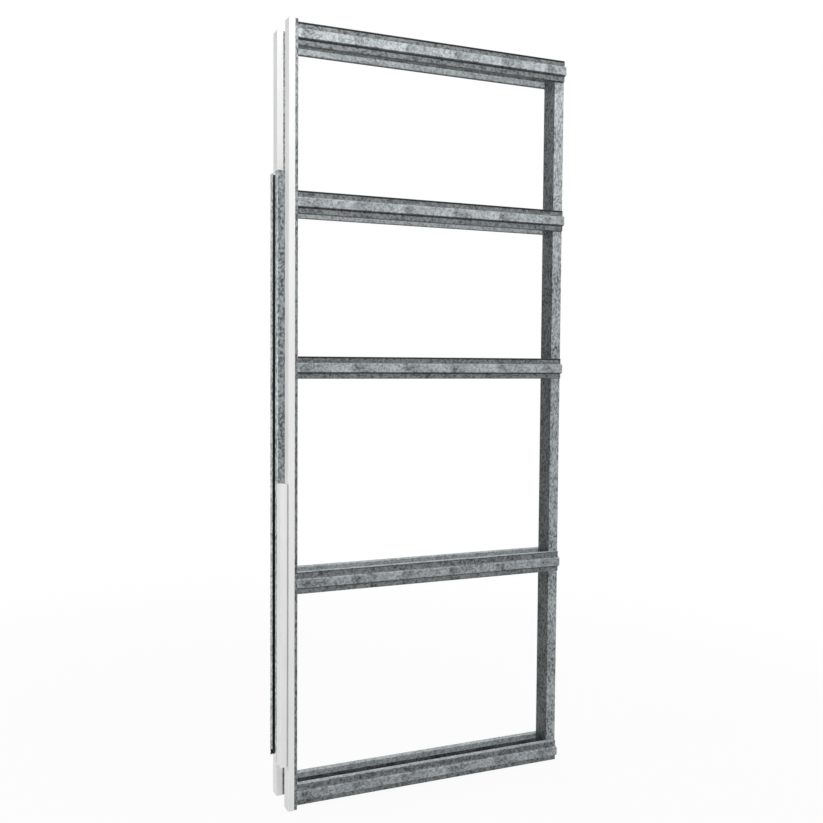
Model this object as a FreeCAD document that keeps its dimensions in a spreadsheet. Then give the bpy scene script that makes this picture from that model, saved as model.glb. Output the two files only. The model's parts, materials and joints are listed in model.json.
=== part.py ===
import FreeCAD, Part
import os
import re
import Sketcher

# Pocket door frame: five pressed steel rails on each side of a door pocket, a rear post,
# lined jambs at the mouth, and the head track and head liner packed in the mouth.
# +X runs from the mouth to the rear post, +Y to the back, +Z up, origin on the floor
# under the middle of the frame.

# Driving dimensions in millimetres: name, value and what it measures.
SIZES = [
    ("frame_height", 2100, "floor to the top of the top rails"),
    ("door_slot", 60, "gap between the two jamb liners, where the door passes"),
    ("lower_pitch", 581.5, "rail spacing in the two lower bays"),
    ("rail_length", 854, "jamb upright to the rail's end on the rear post"),
    ("rail_height", 60, "rail from edge to edge"),
    ("lower_margin", 14, "flat strip below the rib"),
    ("upper_margin", 15, "flat strip above the rib, with the hem on it"),
    ("rail_return", 12, "face of the margin to the face of the post"),
    ("rail_lip", 16, "inner lip that lies on the post"),
    ("rail_sheet", 1.2, "thickness of the rail's sheet"),
    ("rail_lap", 24.5, "rail's end that lies over the post"),
    ("rib_depth", 8, "rib in front of the margins"),
    ("rib_step", 4, "height of each sloped side of the rib"),
    ("hem_reach", 2.5, "hem in front of the upper margin"),
    ("hem_height", 3.5, "hem below the rail's upper edge"),
    ("hem_cutback", 2.5, "hem's end short of the rail's end"),
    ("post_width", 33, "rear post along the frame"),
    ("post_depth", 50, "rear post across the frame"),
    ("post_wall", 1.5, "wall of the rear post"),
    ("liner_width", 18, "jamb liner along the frame, without its tongue"),
    ("liner_depth", 30, "jamb liner across the frame"),
    ("liner_round", 1.5, "rounded edges of the liners"),
    ("tongue_depth", 4, "liner's tongue that plugs into the upright"),
    ("tongue_fit", 0.3, "clearance on each side of the tongue"),
    ("upright_width", 9.5, "jamb upright along the frame"),
    ("upright_inset", 3, "upright's sides inside the liner's sides"),
    ("upright_sheet", 1.2, "thickness of the upright's sheet"),
    ("track_depth", 40, "head track from its slot to its back"),
    ("track_reach", 20, "head track in front of the mouth"),
    ("track_slot", 24, "slot that the door hangers run in"),
    ("track_sheet", 2, "thickness of the head track's sheet"),
    ("lip_notch", 20, "cut in the track's lips at its lower end, where the hangers go in"),
    ("lip_strip", 10, "strip of the front lip beside the notch"),
    ("track_fit", 0.2, "clearance between the head track and each liner"),
    ("track_length", 1590, "head track, twice the door's width and the jamb"),
    ("head_liner_length", 760, "head liner, the width of the doorway"),
    ("stow_height", 123, "floor to the lower ends of the packed pieces"),
    ("bridge_length", 60, "spacer channel along the frame"),
    ("bridge_sheet", 1.5, "thickness of the spacer channel"),
    ("cleat_length", 40, "leg of the angle cleat along the rib"),
    ("cleat_leg", 10.5, "leg of the angle cleat on the upright"),
    ("cleat_sheet", 2, "thickness of the angle cleat"),
    ("bend_radius", 1, "inside of every bend in the sheet pieces"),
]

doc = FreeCAD.newDocument("PocketDoorFrame")
sheet = doc.addObject("Spreadsheet::Sheet", "Sizes")
for row, (alias, value, meaning) in enumerate(SIZES, start=1):
    sheet.set(f"A{row}", meaning)
    sheet.set(f"B{row}", str(value))
    sheet.setAlias(f"B{row}", alias)
doc.recompute()

# Places worked out from the driving dimensions, written with the names in the sheet.
POST_X = "(liner_width + upright_width + rail_length - rail_lap)"
MOUTH_X = f"(-({POST_X} + post_width - liner_width - tongue_depth) / 2)"
RAIL_X = f"({MOUTH_X} + liner_width + upright_width)"
UPPER_PITCH = "((frame_height - rail_height - 2 * lower_pitch) / 2)"
RAIL_HEIGHTS = {
    "floor": "0",
    "low": "lower_pitch",
    "middle": "(2 * lower_pitch)",
    "high": f"(2 * lower_pitch + {UPPER_PITCH})",
    "top": "(frame_height - rail_height)",
}
FRONT_LINER_Y = "(-door_slot / 2 - liner_depth)"
BACK_LINER_Y = "(door_slot / 2)"

pieces = []


def sized(text):
    # Names with an underscore are cells of the sheet.
    return re.sub(r"[a-z]+(?:_[a-z]+)+", r"Sizes.\g<0>", text)


def number(text):
    return float(sheet.evalExpression(sized(text)))


def new_body(name, x="0", y="0", z="0", turned=False):
    body = doc.addObject("PartDesign::Body", name)
    body.Label = name
    if turned:
        half_turn = FreeCAD.Rotation(FreeCAD.Vector(0, 0, 1), 180)
        body.Placement = FreeCAD.Placement(FreeCAD.Vector(), half_turn)
    for axis, place in (("x", x), ("y", y), ("z", z)):
        body.setExpression(f"Placement.Base.{axis}", sized(place))
    pieces.append(body)
    return body


# An outline is a list of corners in order. A corner is its distances from the sketch's
# origin, and a mark where the sheet is bent there: the inside or the outside of the bend.
INSIDE = "inside"
OUTSIDE = "outside"


def draw(body, plane_role, *outlines):
    sketch = body.newObject("Sketcher::SketchObject", f"{body.Name}_outline")
    plane = next(f for f in body.Origin.OriginFeatures if f.Role == plane_role)
    sketch.AttachmentSupport = [(plane, "")]
    sketch.MapMode = "FlatFace"
    for corners in outlines:
        first = sketch.GeometryCount
        count = len(corners)
        points = [FreeCAD.Vector(number(corner[0]), number(corner[1]), 0) for corner in corners]
        for index in range(count):
            side = Part.LineSegment(points[index], points[(index + 1) % count])
            sketch.addGeometry(side, False)
        for index in range(count):
            following = first + (index + 1) % count
            sketch.addConstraint(Sketcher.Constraint("Coincident", first + index, 2, following, 1))
        for index, corner in enumerate(corners):
            tie(sketch, first + index, "DistanceX", corner[0], -2)
            tie(sketch, first + index, "DistanceY", corner[1], -1)
    sketch.Visibility = False
    return sketch


def tie(sketch, line, direction, text, axis):
    # Holds a line's start at a distance from the sketch's origin, or on the sketch's axis.
    if text == "0":
        sketch.addConstraint(Sketcher.Constraint("PointOnObject", line, 1, axis))
    else:
        held = Sketcher.Constraint(direction, -1, 1, line, 1, number(text))
        constraint = sketch.addConstraint(held)
        sketch.setExpression(f"Constraints[{constraint}]", sized(text))


def pad(body, sketch, length, reverse=False):
    feature = body.newObject("PartDesign::Pad", f"{body.Name}_pad")
    feature.Profile = sketch
    feature.setExpression("Length", sized(length))
    feature.Reversed = reverse
    return feature


def round_edges(body, feature, plane_role, corners, radius):
    # Rounds the straight edges that run out from these corners of the outline.
    doc.recompute()
    wanted = [(number(corner[0]), number(corner[1])) for corner in corners]
    picked = []
    for index, edge in enumerate(feature.Shape.Edges, start=1):
        starts = [in_outline(vertex.Point, plane_role) for vertex in edge.Vertexes]
        if any(all(near(start, place) for start in starts) for place in wanted):
            picked.append(f"Edge{index}")
    if len(picked) != len(wanted):
        raise RuntimeError(f"{body.Label} has {len(picked)} of {len(wanted)} edges to round")
    rounded = body.newObject("PartDesign::Fillet", f"{body.Name}_round")
    rounded.Base = (feature, picked)
    rounded.setExpression("Radius", sized(radius))
    return rounded


def in_outline(point, plane_role):
    return (point.y, point.z) if plane_role == "YZ_Plane" else (point.x, point.y)


def near(place, other):
    return all(abs(one - two) < 0.001 for one, two in zip(place, other))


def form_sheet(body, plane_role, section, length, thickness, reverse=False):
    # A bent sheet: its section drawn out along its length, with every bend rounded.
    outlines = section if isinstance(section[0], list) else [section]
    feature = pad(body, draw(body, plane_role, *outlines), length, reverse)
    corners = [corner for outline in outlines for corner in outline]
    for mark, radius in ((INSIDE, "bend_radius"), (OUTSIDE, f"bend_radius + {thickness}")):
        bends = [corner for corner in corners if corner[-1] == mark]
        feature = round_edges(body, feature, plane_role, bends, radius)
    return feature


# The rail's section, as distances from the frame's middle plane and from its lower edge:
# a lip on the post, a return, a margin, the raised rib, and the same again above it.
# The corners of the sloped sides keep the sheet's thickness through the bends.
POST_FACE = "(post_depth / 2)"
LIP_FACE = f"({POST_FACE} + rail_sheet)"
MARGIN = f"({POST_FACE} + rail_return)"
MARGIN_INNER = f"({MARGIN} - rail_sheet)"
RIB = f"({MARGIN} + rib_depth)"
RIB_INNER = f"({RIB} - rail_sheet)"
SLOPE_LENGTH = "sqrt(rib_depth * rib_depth + rib_step * rib_step)"
MITRE = f"(rail_sheet * ({SLOPE_LENGTH} - rib_step) / rib_depth)"


def from_top(height):
    return f"(rail_height - {height})"


RIB_BOTTOM = "(lower_margin + rib_step)"
RIB_BOTTOM_INNER = f"({RIB_BOTTOM} + {MITRE})"
LOWER_BEND_INNER = f"(lower_margin + {MITRE})"
RIB_TOP = from_top("(upper_margin + rib_step)")
RIB_TOP_INNER = f"({RIB_TOP} - {MITRE})"
UPPER_BEND_INNER = from_top(f"(upper_margin + {MITRE})")

RAIL_SECTION = [
    (POST_FACE, "rail_lip"),
    (POST_FACE, "0", OUTSIDE),
    (MARGIN, "0", OUTSIDE),
    (MARGIN, "lower_margin", INSIDE),
    (RIB, RIB_BOTTOM, OUTSIDE),
    (RIB, RIB_TOP, OUTSIDE),
    (MARGIN, from_top("upper_margin"), INSIDE),
    (MARGIN, "rail_height"),
    (POST_FACE, "rail_height", OUTSIDE),
    (POST_FACE, from_top("rail_lip")),
    (LIP_FACE, from_top("rail_lip")),
    (LIP_FACE, from_top("rail_sheet"), INSIDE),
    (MARGIN_INNER, from_top("rail_sheet"), INSIDE),
    (MARGIN_INNER, UPPER_BEND_INNER, OUTSIDE),
    (RIB_INNER, RIB_TOP_INNER, INSIDE),
    (RIB_INNER, RIB_BOTTOM_INNER, INSIDE),
    (MARGIN_INNER, LOWER_BEND_INNER, OUTSIDE),
    (MARGIN_INNER, "rail_sheet", INSIDE),
    (LIP_FACE, "rail_sheet", INSIDE),
    (LIP_FACE, "rail_lip"),
]

# The hem is the sheet folded over in front of the upper margin's edge, with a round nose.
HEM_UNDERSIDE = from_top("hem_height")
HEM_FRONT = f"({MARGIN} + hem_reach)"
HEM_NOSE = [(HEM_FRONT, HEM_UNDERSIDE), (HEM_FRONT, "rail_height")]
HEM_SECTION = [(MARGIN, HEM_UNDERSIDE), *HEM_NOSE, (MARGIN, "rail_height")]
HEM_NOSE_RADIUS = "0.9 * rail_sheet"


def make_rail(side, level):
    # A front rail is the back rail turned round, and drawn out the other way.
    is_front = side == "front"
    body = new_body(f"{side}_{level}_rail", x=RAIL_X, z=RAIL_HEIGHTS[level], turned=is_front)
    form_sheet(body, "YZ_Plane", RAIL_SECTION, "rail_length", "rail_sheet", is_front)
    hem = pad(body, draw(body, "YZ_Plane", HEM_SECTION), "rail_length - hem_cutback", is_front)
    round_edges(body, hem, "YZ_Plane", HEM_NOSE, HEM_NOSE_RADIUS)


# An angle cleat sits in the hollow of each rib, at the mouth, and ties the rail to the upright.
CLEAT_BOTTOM = f"({RIB_BOTTOM_INNER} + bend_radius)"
CLEAT_HEIGHT = f"({RIB_TOP_INNER} - bend_radius - {CLEAT_BOTTOM})"


def make_cleat(side, level):
    if side == "front":
        rib_side, rib_side_inner, far_side = "0", "cleat_sheet", "cleat_leg"
        y = f"-{RIB_INNER}"
    else:
        rib_side, rib_side_inner, far_side = "cleat_leg", "(cleat_leg - cleat_sheet)", "0"
        y = f"{RIB_INNER} - cleat_leg"
    section = [
        ("0", rib_side, OUTSIDE),
        ("cleat_length", rib_side),
        ("cleat_length", rib_side_inner),
        ("cleat_sheet", rib_side_inner, INSIDE),
        ("cleat_sheet", far_side),
        ("0", far_side),
    ]
    z = f"{RAIL_HEIGHTS[level]} + {CLEAT_BOTTOM}"
    body = new_body(f"{side}_{level}_cleat", x=RAIL_X, y=y, z=z)
    form_sheet(body, "XY_Plane", section, CLEAT_HEIGHT, "cleat_sheet")


for level in RAIL_HEIGHTS:
    for side in ("front", "back"):
        make_rail(side, level)
        make_cleat(side, level)


# The rear post is a rectangular tube that the rails' ends lie on.
def make_rear_post():
    far_x = "(post_width - post_wall)"
    far_y = "(post_depth - post_wall)"
    outer_wall = [
        ("0", "0", OUTSIDE),
        ("post_width", "0", OUTSIDE),
        ("post_width", "post_depth", OUTSIDE),
        ("0", "post_depth", OUTSIDE),
    ]
    inner_wall = [
        ("post_wall", "post_wall", INSIDE),
        (far_x, "post_wall", INSIDE),
        (far_x, far_y, INSIDE),
        ("post_wall", far_y, INSIDE),
    ]
    body = new_body("rear_post", x=f"{MOUTH_X} + {POST_X}", y="-post_depth / 2")
    form_sheet(body, "XY_Plane", [outer_wall, inner_wall], "frame_height", "post_wall")


make_rear_post()

# The liner's section: a round-edged board with a tongue along its back.
TONGUE_START = "(upright_inset + upright_sheet + tongue_fit)"
TONGUE_END = f"(liner_depth - {TONGUE_START})"
TONGUE_TIP = "(liner_width + tongue_depth)"
LINER_SECTION = [
    ("0", "0"),
    ("liner_width", "0"),
    ("liner_width", TONGUE_START),
    (TONGUE_TIP, TONGUE_START),
    (TONGUE_TIP, TONGUE_END),
    ("liner_width", TONGUE_END),
    ("liner_width", "liner_depth"),
    ("0", "liner_depth"),
]
LINER_EDGES = [("0", "0"), ("liner_width", "0"), ("liner_width", "liner_depth"), ("0", "liner_depth")]


def make_liner(name, x, y, z, length):
    body = new_body(name, x=x, y=y, z=z)
    board = pad(body, draw(body, "XY_Plane", LINER_SECTION), length)
    round_edges(body, board, "XY_Plane", LINER_EDGES, "liner_round")


STOWED_LINER_X = f"{MOUTH_X} - {TONGUE_TIP}"
make_liner("front_jamb_liner", MOUTH_X, FRONT_LINER_Y, "0", "frame_height")
make_liner("back_jamb_liner", MOUTH_X, BACK_LINER_Y, "0", "frame_height")
make_liner("stowed_head_liner", STOWED_LINER_X, FRONT_LINER_Y, "stow_height", "head_liner_length")

# The upright is a channel that opens towards the liner and takes its tongue.
UPRIGHT_DEPTH = "(liner_depth - 2 * upright_inset)"
UPRIGHT_FAR_SIDE = f"({UPRIGHT_DEPTH} - upright_sheet)"
UPRIGHT_WEB = "(upright_width - upright_sheet)"
UPRIGHT_SECTION = [
    ("0", "0"),
    ("upright_width", "0", OUTSIDE),
    ("upright_width", UPRIGHT_DEPTH, OUTSIDE),
    ("0", UPRIGHT_DEPTH),
    ("0", UPRIGHT_FAR_SIDE),
    (UPRIGHT_WEB, UPRIGHT_FAR_SIDE, INSIDE),
    (UPRIGHT_WEB, "upright_sheet", INSIDE),
    ("0", "upright_sheet"),
]


def make_upright(side, liner_y):
    body = new_body(f"{side}_upright", x=f"{MOUTH_X} + liner_width", y=f"{liner_y} + upright_inset")
    form_sheet(body, "XY_Plane", UPRIGHT_SECTION, "frame_height", "upright_sheet")


make_upright("front", FRONT_LINER_Y)
make_upright("back", BACK_LINER_Y)

# The head track is a lipped channel with its slot towards the mouth.
TRACK_WIDTH = "(door_slot - 2 * track_fit)"
TRACK_BACK = "(track_depth - track_sheet)"
TRACK_SIDE = f"({TRACK_WIDTH} - track_sheet)"
SLOT_START = f"(({TRACK_WIDTH} - track_slot) / 2)"
SLOT_END = f"(({TRACK_WIDTH} + track_slot) / 2)"
TRACK_SECTION = [
    ("0", "0", OUTSIDE),
    ("track_depth", "0", OUTSIDE),
    ("track_depth", TRACK_WIDTH, OUTSIDE),
    ("0", TRACK_WIDTH, OUTSIDE),
    ("0", SLOT_END),
    ("track_sheet", SLOT_END),
    ("track_sheet", TRACK_SIDE, INSIDE),
    (TRACK_BACK, TRACK_SIDE, INSIDE),
    (TRACK_BACK, "track_sheet", INSIDE),
    ("track_sheet", "track_sheet", INSIDE),
    ("track_sheet", SLOT_START),
    ("0", SLOT_START),
]


# What the notch takes away at one end of the lips: the back lip and part of the front one.
NOTCH_SIDE = f"({TRACK_WIDTH} - 2 * track_sheet)"
NOTCH_SECTION = [
    ("0", "lip_strip"),
    ("(2 * track_sheet)", "lip_strip"),
    ("(2 * track_sheet)", NOTCH_SIDE),
    ("0", NOTCH_SIDE),
]


def make_head_track():
    track_y = f"-{TRACK_WIDTH} / 2"
    body = new_body("stowed_head_track", x=f"{MOUTH_X} - track_reach", y=track_y, z="stow_height")
    form_sheet(body, "XY_Plane", TRACK_SECTION, "track_length", "track_sheet")
    notch = body.newObject("PartDesign::Pocket", f"{body.Name}_notch")
    notch.Profile = draw(body, "XY_Plane", NOTCH_SECTION)
    notch.setExpression("Length", sized("lip_notch"))
    notch.Reversed = True


make_head_track()

# A shallow spacer channel lies between the lips of the two rails at the head and the floor,
# close to the mouth, and holds them as far apart as the post does.
BRIDGE_FAR_SIDE = "(post_depth - bridge_sheet)"


def make_bridge(name, z, web, web_inner, open_edge):
    section = [
        ("0", web, OUTSIDE),
        ("post_depth", web, OUTSIDE),
        ("post_depth", open_edge),
        (BRIDGE_FAR_SIDE, open_edge),
        (BRIDGE_FAR_SIDE, web_inner, INSIDE),
        ("bridge_sheet", web_inner, INSIDE),
        ("bridge_sheet", open_edge),
        ("0", open_edge),
    ]
    body = new_body(name, x=RAIL_X, y="-post_depth / 2", z=z)
    form_sheet(body, "YZ_Plane", section, "bridge_length", "bridge_sheet")


make_bridge("floor_bridge", "0", "0", "bridge_sheet", "rail_lip")
make_bridge("head_bridge", "frame_height - rail_lip", "rail_lip", "(rail_lip - bridge_sheet)", "0")

doc.recompute()

for item in doc.Objects:
    faults = [state for state in item.State if state in ("Invalid", "Error")]
    if faults:
        raise RuntimeError(f"{item.Name} did not build: {faults}")
for body in pieces:
    if body.Shape.isNull() or not body.Shape.isValid() or len(body.Shape.Solids) != 1:
        raise RuntimeError(f"{body.Label} is not one sound solid")

os.makedirs("parts", exist_ok=True)
for body in pieces:
    body.Shape.exportStep(f"parts/{body.Label}.step")
    box = body.Shape.BoundBox
    print(f"{body.Label}: {box.XLength:.1f} x {box.YLength:.1f} x {box.ZLength:.1f} mm")
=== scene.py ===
import json
import math
import bpy
import numpy as np
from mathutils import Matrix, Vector


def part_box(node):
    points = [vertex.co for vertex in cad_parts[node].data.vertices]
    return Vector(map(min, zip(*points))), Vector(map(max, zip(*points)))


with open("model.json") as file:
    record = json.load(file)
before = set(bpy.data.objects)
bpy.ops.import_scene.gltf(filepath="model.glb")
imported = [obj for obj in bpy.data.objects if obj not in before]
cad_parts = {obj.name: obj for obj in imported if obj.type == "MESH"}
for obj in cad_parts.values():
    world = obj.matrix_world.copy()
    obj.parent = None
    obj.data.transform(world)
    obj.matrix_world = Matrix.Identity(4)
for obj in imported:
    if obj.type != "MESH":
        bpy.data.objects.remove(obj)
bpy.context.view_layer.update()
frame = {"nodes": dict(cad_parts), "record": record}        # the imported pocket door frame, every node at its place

nodes = frame["nodes"]
scene = bpy.context.scene
scene.view_settings.view_transform = "Standard"
print("frame loaded:", len(nodes), "nodes")

# places read from the frame, in metres
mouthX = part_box("front_jamb_liner")[0].x        # left faces of the jamb liners
railFeet = sorted(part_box(name)[0].z for name in nodes
                  if name.startswith("front_") and name.endswith("_rail"))
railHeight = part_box("front_floor_rail")[1].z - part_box("front_floor_rail")[0].z
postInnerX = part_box("rear_post")[0].x
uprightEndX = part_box("front_upright")[1].x
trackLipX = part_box("stowed_head_track")[0].x


# camera: where the picture was taken from, seen from the mouth's left face and the floor
photoCamera = {
    "imagePixels": 823,
    "focalPixels": 841.8,
    "axisPixelX": 262.7,        # the optical axis meets the picture left of its middle
    "leftOfMouth": 0.7947,
    "inFront": 2.1305,
    "eyeHeight": 1.1668,
    "yawDegrees": 19.23,
    "pitchDegrees": 2.32,
    "sensorMm": 36.0,
}


def makeCamera(c):
    data = bpy.data.cameras.new("photoCamera")
    data.sensor_width = c["sensorMm"]
    data.lens = c["sensorMm"] * c["focalPixels"] / c["imagePixels"]
    data.shift_x = (c["imagePixels"] / 2 - c["axisPixelX"]) / c["imagePixels"]
    camera = bpy.data.objects.new("photoCamera", data)
    yaw, pitch = math.radians(c["yawDegrees"]), math.radians(c["pitchDegrees"])
    look = Vector((math.sin(yaw) * math.cos(pitch), math.cos(yaw) * math.cos(pitch), -math.sin(pitch)))
    camera.rotation_euler = look.to_track_quat("-Z", "Y").to_euler()
    camera.location = (mouthX - c["leftOfMouth"], -c["inFront"], c["eyeHeight"])
    scene.collection.objects.link(camera)
    scene.camera = camera


makeCamera(photoCamera)
print("camera placed")


# small helpers for node trees
def addNode(tree, kind, **settings):
    node = tree.nodes.new(kind)
    for key, value in settings.items():
        setattr(node, key, value)
    return node


def feed(tree, socket, value):
    # a number is set on the socket, anything else is linked to it
    if isinstance(value, (int, float)):
        socket.default_value = value
    else:
        tree.links.new(value, socket)


def mathNode(tree, operation, first, second=None, clamp=False):
    node = addNode(tree, "ShaderNodeMath", operation=operation, use_clamp=clamp)
    feed(tree, node.inputs[0], first)
    if second is not None:
        feed(tree, node.inputs[1], second)
    return node.outputs[0]


def timesNode(tree, first, second):
    return mathNode(tree, "MULTIPLY", first, second)


def rangeNode(tree, value, low, high, toLow=0.0, toHigh=1.0, smooth=True):
    node = addNode(tree, "ShaderNodeMapRange", clamp=True)
    node.interpolation_type = "SMOOTHSTEP" if smooth else "LINEAR"
    tree.links.new(value, node.inputs["Value"])
    for label, amount in (("From Min", low), ("From Max", high), ("To Min", toLow), ("To Max", toHigh)):
        node.inputs[label].default_value = amount
    return node.outputs["Result"]


def noiseNode(tree, vector, scale, detail):
    node = addNode(tree, "ShaderNodeTexNoise")
    node.inputs["Detail"].default_value = detail
    tree.links.new(vector, node.inputs["Vector"])
    feed(tree, node.inputs["Scale"], scale)
    return node.outputs["Fac"]


def bandNode(tree, value, low, high, soft):
    # 1 from low to high, down to 0 over the soft width on each side
    rise = rangeNode(tree, value, low - soft, low)
    fall = rangeNode(tree, value, high, high + soft, 1.0, 0.0)
    return timesNode(tree, rise, fall)


def maskedTone(tree, mask, tone):
    # 1 where the mask is 0, the tone where it is 1
    if isinstance(tone, float):
        return rangeNode(tree, mask, 0.0, 1.0, 1.0, tone, smooth=False)
    return mathNode(tree, "ADD", 1.0, timesNode(tree, mask, mathNode(tree, "SUBTRACT", tone, 1.0)))


def shadeNode(tree, shade, mask, tone):
    return timesNode(tree, shade, maskedTone(tree, mask, tone))


def seenDirectly(tree):
    # 1 for rays from the camera, in reflections and through glass
    seen = addNode(tree, "ShaderNodeLightPath").outputs
    direct = mathNode(tree, "ADD", seen["Is Camera Ray"], seen["Is Glossy Ray"])
    return mathNode(tree, "ADD", direct, seen["Is Transmission Ray"], clamp=True)


def objectVector(tree, stretch):
    coordinates = addNode(tree, "ShaderNodeTexCoord")
    mapping = addNode(tree, "ShaderNodeMapping")
    mapping.inputs["Scale"].default_value = stretch
    tree.links.new(coordinates.outputs["Object"], mapping.inputs["Vector"])
    return mapping.outputs["Vector"]


def placeParts(tree):
    # distance along the frame, distance from the middle plane, height above the floor
    coordinates = addNode(tree, "ShaderNodeTexCoord")
    split = addNode(tree, "ShaderNodeSeparateXYZ")
    tree.links.new(coordinates.outputs["Object"], split.inputs[0])
    return split.outputs["X"], mathNode(tree, "ABSOLUTE", split.outputs["Y"]), split.outputs["Z"]


def newMaterial(name):
    material = bpy.data.materials.new(name)
    material.use_nodes = True
    tree = material.node_tree
    return material, tree, tree.nodes["Principled BSDF"]


def setColour(tree, shader, first, second, factor, shade):
    # from the first colour to the second by the factor, then darkened by the shade
    blend = addNode(tree, "ShaderNodeMix", data_type="RGBA")
    blend.inputs["A"].default_value = first
    blend.inputs["B"].default_value = second
    tree.links.new(factor, blend.inputs["Factor"])
    shaded = addNode(tree, "ShaderNodeMix", data_type="RGBA", blend_type="MULTIPLY")
    shaded.inputs["Factor"].default_value = 1.0
    tree.links.new(blend.outputs["Result"], shaded.inputs["A"])
    tree.links.new(shade, shaded.inputs["B"])
    tree.links.new(shaded.outputs["Result"], shader.inputs["Base Color"])


def setBump(tree, shader, height, strength, depth):
    bump = addNode(tree, "ShaderNodeBump")
    bump.inputs["Strength"].default_value = strength
    bump.inputs["Distance"].default_value = depth
    tree.links.new(height, bump.inputs["Height"])
    tree.links.new(bump.outputs["Normal"], shader.inputs["Normal"])


# zinc spangle: curled bands of frosted crystals, cloudy patches and specks
spangleForm = {
    "details": {"Swirls": 1.0, "Patches": 3.0, "Specks": 2.0},
    "contours": 30.0,        # how closely the curled bands follow each other
    "curlEdge": (-0.85, 0.35),
    "cloudEdge": (0.36, 0.64),
    "speckEdge": (0.38, 0.58),
    "toneShares": (0.42, 0.24, 0.38),        # of curls, cloud and specks
    "heightShares": (0.4, 0.6),        # of curls and specks
    "middleTone": 0.6,        # contrast works about this tone
}


def makeSpangleGroup(s):
    group = bpy.data.node_groups.new("zincSpangle", "ShaderNodeTree")
    group.interface.new_socket("Vector", in_out="INPUT", socket_type="NodeSocketVector")
    for label in ("Swirls", "Patches", "Specks", "Contrast"):
        group.interface.new_socket(label, in_out="INPUT", socket_type="NodeSocketFloat")
    for label in ("Tone", "Height"):
        group.interface.new_socket(label, in_out="OUTPUT", socket_type="NodeSocketFloat")
    given = group.nodes.new("NodeGroupInput").outputs
    result = group.nodes.new("NodeGroupOutput").inputs
    noises = {label: noiseNode(group, given["Vector"], given[label], detail)
              for label, detail in s["details"].items()}

    # the curled bands are the contour lines of a soft noise
    contour = mathNode(group, "SINE", timesNode(group, noises["Swirls"], s["contours"]))
    curls = rangeNode(group, contour, *s["curlEdge"])
    cloud = rangeNode(group, noises["Patches"], *s["cloudEdge"])
    specks = rangeNode(group, noises["Specks"], *s["speckEdge"])

    curlTone, cloudTone, speckTone = s["toneShares"]
    tone = timesNode(group, curls, curlTone)
    tone = mathNode(group, "ADD", tone, timesNode(group, cloud, cloudTone))
    tone = mathNode(group, "ADD", tone, timesNode(group, specks, speckTone))
    tone = timesNode(group, mathNode(group, "SUBTRACT", tone, s["middleTone"]), given["Contrast"])
    tone = mathNode(group, "ADD", tone, s["middleTone"], clamp=True)
    curlHeight, speckHeight = s["heightShares"]
    height = mathNode(group, "ADD", timesNode(group, curls, curlHeight),
                      timesNode(group, specks, speckHeight))
    group.links.new(tone, result["Tone"])
    group.links.new(height, result["Height"])
    return group


spangleGroup = makeSpangleGroup(spangleForm)
print("zinc spangle group made")


# galvanised finishes: what all zinc shares, then one dictionary for each kind of piece
zincLook = {
    "dark": (0.071, 0.086, 0.093, 1.0),
    "light": (0.468, 0.503, 0.515, 1.0),
    "patches": 26.0,
    "metallic": 0.22,
    "roughness": (0.44, 0.62),        # on the lightest and the darkest zinc
    "bump": 0.07,
    "bumpDepth": 0.0005,
    "shadeGrain": 1.8,        # gain in contrast where the painted shade is deepest
    "grainFullShade": 0.3,        # painted shade at which that gain is full
}


def makeZinc(name, z, shading):
    material, tree, shader = newMaterial(name)
    spangle = addNode(tree, "ShaderNodeGroup", node_tree=spangleGroup)
    tree.links.new(objectVector(tree, z["stretch"]), spangle.inputs["Vector"])
    for label in ("Swirls", "Patches", "Specks", "Contrast"):
        spangle.inputs[label].default_value = z[label.lower()]
    spangleTone, spangleHeight = spangle.outputs["Tone"], spangle.outputs["Height"]

    # the grain is stronger where painted shade darkens the zinc
    shade = shading(tree, z)
    grain = rangeNode(tree, shade, z["grainFullShade"], 1.0, z["shadeGrain"], 1.0, smooth=False)
    middle = spangleForm["middleTone"]
    tone = timesNode(tree, mathNode(tree, "SUBTRACT", spangleTone, middle), grain)
    tone = mathNode(tree, "ADD", tone, middle, clamp=True)
    setColour(tree, shader, z["dark"], z["light"], tone, shade)

    glossy, dull = z["roughness"]
    rough = rangeNode(tree, spangleTone, 0.0, 1.0, dull, glossy, smooth=False)
    tree.links.new(rough, shader.inputs["Roughness"])
    shader.inputs["Metallic"].default_value = z["metallic"]
    setBump(tree, shader, spangleHeight, z["bump"], z["bumpDepth"])
    return material
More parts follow.
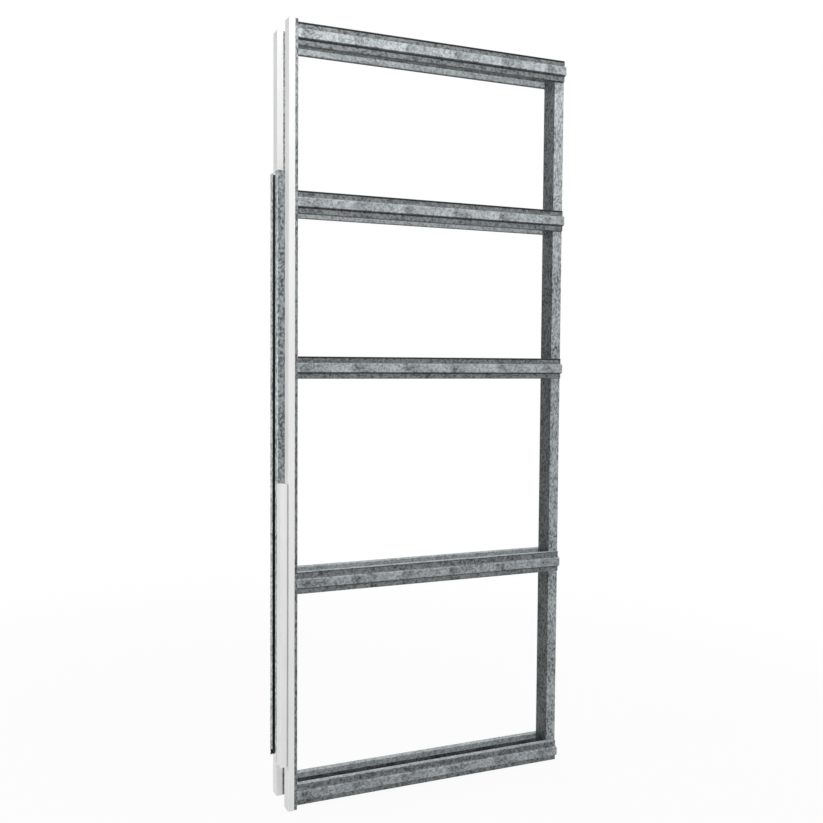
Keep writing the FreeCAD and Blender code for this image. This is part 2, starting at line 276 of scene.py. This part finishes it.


# rails; a tone is the share of the zinc's own tone that is left at a place, and most tones here are painted shade or
# painted light
railZinc = dict(zincLook, **{
    "stretch": (0.8, 1.0, 1.0),        # draws the pattern out along the rail
    "swirls": 54.0,
    "specks": 150.0,
    "contrast": 0.66,
    # painted shade on the margins beside the rib
    "marginPlane": (0.0345, 0.0400),        # from the middle plane
    "marginSoft": 0.003,
    "marginShade": 0.42,
    "slopeInset": (0.0002, 0.0006),        # from the lower and upper end of the rib's lower slope
    "slopeSoft": 0.0012,
    # painted shade on the rib's lower slope
    "slopeShade": 0.36,
    "hemDrop": (0.0003, 0.0046),        # below the rail's upper edge
    "hemSoft": 0.0003,
    "hemShadeAndLight": (1.4, 0.03),        # painted highlight on the floor rail, and painted shade from the middle rail up
    "footEdge": (0.0012, 0.0026),        # above the rail's foot
    "footShadeAndLight": (0.62, 1.15),        # painted shade on the floor rail, and painted light on the top rail
    # painted shade on the rails' undersides
    "undersideEdge": (0.0002, 0.0006),
    "undersideShade": 0.12,
    "hollowEdge": (0.6, 0.9),        # behind the outer face, in sheets
    "hollowSoft": 0.3,        # at the returns, in sheets
    "hollowShade": 0.26,        # painted shade inside the rib and behind the margins
    "ribEdge": (0.5, 0.8),        # up the rib's rise
    "ribTone": (0.96, 1.15),        # painted light: a little darker on the low ribs, lighter from the high rail up
    "ovalPitch": 0.1545,        # along the rib
    "ovalFrom": -0.0715,        # middle of one oval, from the frame's middle
    "ovalSize": (0.018, 0.011),
    "ovalEdge": (0.55, 1.2),
    "ovalTone": 0.71,
    "ovalShare": 0.13,        # its middle in the stretch
    "stretchTone": 0.80,        # beside an oval; the rib lightens from there to the next one
    "stretchRise": (0.25, 0.97),        # shares of the stretch over which it lightens
    "stretchFall": (0.0, 0.08),        # and darkens again at the start of the next one
})
railForm = {        # the rail's section: faces from the middle plane, heights above its foot
    "lipFace": 0.0275,
    "lipSoft": 0.0006,
    "marginFace": 0.0370,
    "outerEdge": (0.0365, 0.0373),        # where the outer face starts
    "topEdge": (0.0004, 0.0001),        # below the upper edge, where the face ends
    "ribRise": 0.0080,
    "ribStep": 0.0040,
    "lowerMargin": 0.0140,
    "upperMargin": 0.0150,
    "sheet": 0.0012,
    "clearBelow": 0.02,        # a rail's heights count from this far below its foot
    "toneStart": 0.1,        # above the floor, where tones start to change from rail to rail
}


def railOvals(tree, z, along, upFromMiddle):
    # each stretch of the rib starts at a darker oval and lightens towards the next one
    wholeTurns = 10.0        # keeps the share positive
    share = mathNode(tree, "DIVIDE", mathNode(tree, "SUBTRACT", along, z["ovalFrom"]), z["ovalPitch"])
    share = mathNode(tree, "FRACT", mathNode(tree, "ADD", share, wholeTurns + z["ovalShare"]))
    ramp = mathNode(tree, "MAXIMUM", rangeNode(tree, share, *z["stretchRise"], z["stretchTone"], 1.0),
                    rangeNode(tree, share, *z["stretchFall"], 1.0, z["stretchTone"]))
    halfLength, halfHeight = z["ovalSize"]
    across = timesNode(tree, mathNode(tree, "SUBTRACT", share, z["ovalShare"]),
                       z["ovalPitch"] / halfLength)
    up = mathNode(tree, "DIVIDE", upFromMiddle, halfHeight)
    squares = mathNode(tree, "ADD", timesNode(tree, across, across), timesNode(tree, up, up))
    oval = rangeNode(tree, mathNode(tree, "SQRT", squares), *z["ovalEdge"], 1.0, 0.0)
    return shadeNode(tree, ramp, oval, z["ovalTone"])


def railShading(tree, z):
    # painted shade on the margins, under the rib, on the undersides, in the hollow, on the upper rails' hems and at
    # the foot edge; painted light on the floor rail's hem, the top rail's foot and the higher ribs
    along, out, height = placeParts(tree)
    f = railForm
    slopeFoot, ribFoot = f["lowerMargin"], f["lowerMargin"] + f["ribStep"]
    ribHead, slopeHead = railHeight - f["upperMargin"] - f["ribStep"], railHeight - f["upperMargin"]
    aboveFoot = height
    for lower, upper in zip(railFeet, railFeet[1:]):
        step = mathNode(tree, "GREATER_THAN", height, upper - f["clearBelow"])
        aboveFoot = mathNode(tree, "SUBTRACT", aboveFoot, timesNode(tree, step, upper - lower))
    outerFace = rangeNode(tree, out, *f["outerEdge"])
    toneStart = railFeet[0] + f["toneStart"]

    faceEnd, edgeStart = (railHeight - drop for drop in f["topEdge"])
    belowTop = rangeNode(tree, aboveFoot, faceEnd, edgeStart, 1.0, 0.0)
    # painted shade on the margins
    margin = bandNode(tree, out, *z["marginPlane"], z["marginSoft"])
    shade = maskedTone(tree, timesNode(tree, margin, belowTop), z["marginShade"])

    # painted shade on the rib's lower slope
    fromFoot, fromHead = z["slopeInset"]
    slope = bandNode(tree, aboveFoot, slopeFoot + fromFoot, ribFoot - fromHead, z["slopeSoft"])
    shade = shadeNode(tree, shade, timesNode(tree, slope, outerFace), z["slopeShade"])

    # painted shade on the hem of the upper rails, painted highlight on the floor rail's hem
    hemHead, hemFoot = (railHeight - drop for drop in z["hemDrop"])
    hem = bandNode(tree, aboveFoot, hemFoot, hemHead, z["hemSoft"])
    hemShadeAndLight = rangeNode(tree, height, toneStart, railFeet[2], *z["hemShadeAndLight"])
    shade = shadeNode(tree, shade, timesNode(tree, hem, outerFace), hemShadeAndLight)

    # painted shade along the foot of the low rails, painted light along the top rail's foot
    foot = rangeNode(tree, aboveFoot, *z["footEdge"], 1.0, 0.0)
    footShadeAndLight = rangeNode(tree, height, toneStart, railFeet[-1], *z["footShadeAndLight"], smooth=False)
    shade = shadeNode(tree, shade, foot, footShadeAndLight)
    # painted shade on the rails' undersides
    underside = rangeNode(tree, aboveFoot, *z["undersideEdge"], 1.0, 0.0)
    shade = shadeNode(tree, shade, underside, z["undersideShade"])

    # painted light on the ribs, lighter on the higher rails; the ovals are the zinc's own pattern
    ribFace = rangeNode(tree, out, *(f["marginFace"] + share * f["ribRise"] for share in z["ribEdge"]))
    upFromMiddle = mathNode(tree, "SUBTRACT", aboveFoot, 0.5 * (ribFoot + ribHead))
    ribTone = rangeNode(tree, height, railFeet[1], railFeet[3], *z["ribTone"])
    ribTone = timesNode(tree, railOvals(tree, z, along, upFromMiddle), ribTone)
    shade = shadeNode(tree, shade, ribFace, ribTone)

    # the hollow is what lies behind the sheet's outer face and outside the lips; painted shade darkens it
    rise = rangeNode(tree, aboveFoot, slopeFoot, ribFoot, 0.0, f["ribRise"], smooth=False)
    fall = rangeNode(tree, aboveFoot, ribHead, slopeHead, 0.0, f["ribRise"], smooth=False)
    face = mathNode(tree, "ADD", mathNode(tree, "SUBTRACT", rise, fall), f["marginFace"])
    deep = mathNode(tree, "SUBTRACT", face, out)
    hollow = rangeNode(tree, deep, *(share * f["sheet"] for share in z["hollowEdge"]))
    hollow = timesNode(tree, hollow, rangeNode(tree, out, f["lipFace"] - f["lipSoft"], f["lipFace"]))
    between = bandNode(tree, aboveFoot, f["sheet"], railHeight - f["sheet"], z["hollowSoft"] * f["sheet"])
    return shadeNode(tree, shade, timesNode(tree, hollow, between), z["hollowShade"])


# rear post, uprights, bridges and cleats
postZinc = dict(zincLook, **{
    "stretch": (1.0, 1.0, 0.58),        # draws the pattern out up the post
    "swirls": 70.0,
    "specks": 170.0,
    "contrast": 0.95,
    "innerBand": (-0.0005, 0.0006),        # about the post's face towards the pocket
    "innerSoft": 0.0004,
    # painted shade on the post's face towards the pocket
    "innerShade": 0.40,
    "postLight": (0.84, 1.12),        # painted light: darker from the middle rail down, lighter at the top rail
    # painted shade on the uprights behind the liners
    "uprightSoft": 0.002,
    "uprightShade": 0.6,
})


def postShading(tree, z):
    # painted shade on the post's face towards the pocket and on the uprights behind the liners, and painted light
    # that makes the post lighter towards the top
    along, _, height = placeParts(tree)
    # painted shade on the post's face towards the pocket
    inner = bandNode(tree, along, *(postInnerX + reach for reach in z["innerBand"]), z["innerSoft"])
    shade = maskedTone(tree, inner, z["innerShade"])
    # painted light, lighter towards the top
    postLight = rangeNode(tree, height, railFeet[2], railFeet[-1], *z["postLight"], smooth=False)
    shade = timesNode(tree, shade, postLight)
    # painted shade on the uprights behind the liners
    mouth = rangeNode(tree, along, uprightEndX, uprightEndX + z["uprightSoft"], 1.0, 0.0)
    return shadeNode(tree, shade, mouth, z["uprightShade"])


# head track
trackZinc = dict(zincLook, **{
    "stretch": (1.0, 1.0, 0.7),
    "swirls": 52.0,
    "specks": 160.0,
    "contrast": 0.95,
    "insideEdge": (0.0279, 0.0285),        # from the middle plane
    # painted shade inside the channel
    "insideShade": 0.04,
    "lipEdge": (0.0008, 0.0016),        # behind the lips' faces
    # painted light on the lips beside the slot
    "lipLight": 1.4,
    # painted shade on the track's sides
    "sideShade": 0.62,
})


def trackShading(tree, z):
    # painted shade inside the channel and on its sides, painted light on the lips beside the slot
    along, out, _ = placeParts(tree)
    inside = rangeNode(tree, out, *z["insideEdge"], 1.0, 0.0)
    behindLips = rangeNode(tree, along, *(trackLipX + reach for reach in z["lipEdge"]))
    # painted light on the lips, painted shade on the track's sides
    shade = rangeNode(tree, behindLips, 0.0, 1.0, z["lipLight"], z["sideShade"], smooth=False)
    # painted shade inside the channel
    return shadeNode(tree, shade, timesNode(tree, inside, behindLips), z["insideShade"])


# white primer on the liners: a faint roller texture, slightly uneven cover and painted shade along one liner's
# tongue
linerPaint = {
    "thin": (0.80, 0.80, 0.795, 1.0),
    "full": (0.87, 0.87, 0.866, 1.0),
    "stretch": (1.0, 1.0, 0.25),
    "cover": 14.0,
    "coverDetail": 4.0,
    "coverEdge": (0.3, 0.6),
    "tongueBand": (-0.0038, -0.0004),        # from the mouth's left face
    "tongueSoft": 0.0002,
    "tongueShade": 0.42,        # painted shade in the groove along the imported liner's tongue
    "roughness": 0.42,
    "stipple": 900.0,
    "stippleDetail": 2.0,
    "bump": 0.05,
    "bumpDepth": 0.0003,
}


def makeLinerPaint(p):
    material, tree, shader = newMaterial("linerPaint")
    vector = objectVector(tree, p["stretch"])
    cover = rangeNode(tree, noiseNode(tree, vector, p["cover"], p["coverDetail"]), *p["coverEdge"])
    along, _, _ = placeParts(tree)
    # painted shade in the groove along the imported liner's tongue
    tongue = bandNode(tree, along, *(mouthX + reach for reach in p["tongueBand"]), p["tongueSoft"])
    setColour(tree, shader, p["thin"], p["full"], cover, maskedTone(tree, tongue, p["tongueShade"]))
    shader.inputs["Roughness"].default_value = p["roughness"]
    stipple = noiseNode(tree, vector, p["stipple"], p["stippleDetail"])
    setBump(tree, shader, stipple, p["bump"], p["bumpDepth"])
    return material


finishes = {
    "galvanised_rail": makeZinc("railZinc", railZinc, railShading),
    "galvanised_post": makeZinc("postZinc", postZinc, postShading),
    "galvanised_track": makeZinc("trackZinc", trackZinc, trackShading),
    "white_liner": makeLinerPaint(linerPaint),
}
for part in frame["record"]["subparts"]:
    mesh = nodes[part["node"]].data
    mesh.materials.clear()
    mesh.materials.append(finishes[part["material_slot"]])


# floor: a wide pale disc under the frame
paleFloor = {
    "radius": 7.0,
    "middleRadius": 0.02,        # of the face that closes the middle
    "rings": 24,
    "spokes": 96,
    "colour": (0.55, 0.55, 0.55, 1.0),
    "roughness": 0.9,
    "whiteNear": 0.93,        # share of plain white that the camera sees beside the frame
    "fade": (0.9, 3.2),        # from the middle; plain white beyond
}


def makeFloor(f):
    # disc: radius runs along the first parameter, angle along the second
    radius, angle = np.meshgrid(
        np.linspace(f["middleRadius"], f["radius"], f["rings"]),
        np.linspace(0, 2 * np.pi, f["spokes"], endpoint=False), indexing="ij")
    points = np.stack([radius * np.cos(angle), radius * np.sin(angle), np.zeros_like(radius)], -1)
    count = f["spokes"]
    ring, spoke = np.meshgrid(np.arange(f["rings"] - 1), np.arange(count), indexing="ij")
    beside = (spoke + 1) % count
    faces = np.stack([ring * count + spoke, (ring + 1) * count + spoke,
                      (ring + 1) * count + beside, ring * count + beside], -1).reshape(-1, 4)
    middle = np.arange(count)[None, :]
    mesh = bpy.data.meshes.new("paleFloor")
    mesh.from_pydata(points.reshape(-1, 3).tolist(), [], faces.tolist() + middle.tolist())
    floor = bpy.data.objects.new("paleFloor", mesh)
    scene.collection.objects.link(floor)

    material, tree, shader = newMaterial("paleFloor")
    shader.inputs["Base Color"].default_value = f["colour"]
    shader.inputs["Roughness"].default_value = f["roughness"]
    shader.inputs["Specular IOR Level"].default_value = 0.0
    white = addNode(tree, "ShaderNodeEmission")
    coordinates = addNode(tree, "ShaderNodeTexCoord")
    reach = addNode(tree, "ShaderNodeVectorMath", operation="LENGTH")
    tree.links.new(coordinates.outputs["Object"], reach.inputs[0])
    whiteness = rangeNode(tree, reach.outputs["Value"], *f["fade"], f["whiteNear"], 1.0)
    mixed = addNode(tree, "ShaderNodeMixShader")
    tree.links.new(timesNode(tree, seenDirectly(tree), whiteness), mixed.inputs["Fac"])
    tree.links.new(shader.outputs[0], mixed.inputs[1])
    tree.links.new(white.outputs[0], mixed.inputs[2])
    tree.links.new(mixed.outputs[0], tree.nodes["Material Output"].inputs["Surface"])
    mesh.materials.append(material)


makeFloor(paleFloor)
print("floor laid")


# studio light: a high box in front and a shadowless one beside it, a tall strip at the left
# in line with the pocket, a box behind that gives no shine, a strip at the right,
# and a pale surround
studio = {
    "surround": 0.18,
    "lamps": [
        {"name": "frontBox", "at": (-0.2, -4.0, 5.5), "aim": (0.0, 0.0, 1.2),
         "size": (2.6, 1.8), "watts": 50, "shadow": True, "shine": True},
        {"name": "frontFill", "at": (0.45, -4.0, 5.5), "aim": (0.0, 0.0, 1.2),
         "size": (1.2, 1.8), "watts": 272, "shadow": False, "shine": True},
        {"name": "leftStrip", "at": (-3.0, 0.0, 1.3), "aim": (-0.4, 0.0, 1.1),
         "size": (0.35, 2.4), "watts": 35, "shadow": True, "shine": True},
        {"name": "backBox", "at": (1.9, 4.2, 2.2), "aim": (0.0, 0.0, 1.1),
         "size": (2.0, 2.2), "watts": 130, "shadow": True, "shine": False},
        {"name": "rightStrip", "at": (3.4, 0.5, 1.5), "aim": (0.4, 0.0, 1.1),
         "size": (0.5, 2.4), "watts": 28, "shadow": True, "shine": True},
    ],
}


def makeLight(s):
    world = bpy.data.worlds.new("paleSurround")
    world.use_nodes = True
    scene.world = world
    tree = world.node_tree
    background = tree.nodes["Background"]
    background.inputs["Color"].default_value = (1.0, 1.0, 1.0, 1.0)
    strength = rangeNode(tree, seenDirectly(tree), 0.0, 1.0, s["surround"], 1.0, smooth=False)
    tree.links.new(strength, background.inputs["Strength"])
    for lamp in s["lamps"]:
        data = bpy.data.lights.new(lamp["name"], "AREA")
        data.shape = "RECTANGLE"
        data.size, data.size_y = lamp["size"]
        data.energy = lamp["watts"]
        data.use_shadow = lamp["shadow"]
        box = bpy.data.objects.new(lamp["name"], data)
        box.visible_glossy = lamp["shine"]
        box.location = lamp["at"]
        towards = Vector(lamp["aim"]) - Vector(lamp["at"])
        box.rotation_euler = towards.to_track_quat("-Z", "Y").to_euler()
        scene.collection.objects.link(box)


makeLight(studio)
print("studio lit with", len(studio["lamps"]), "lamps")
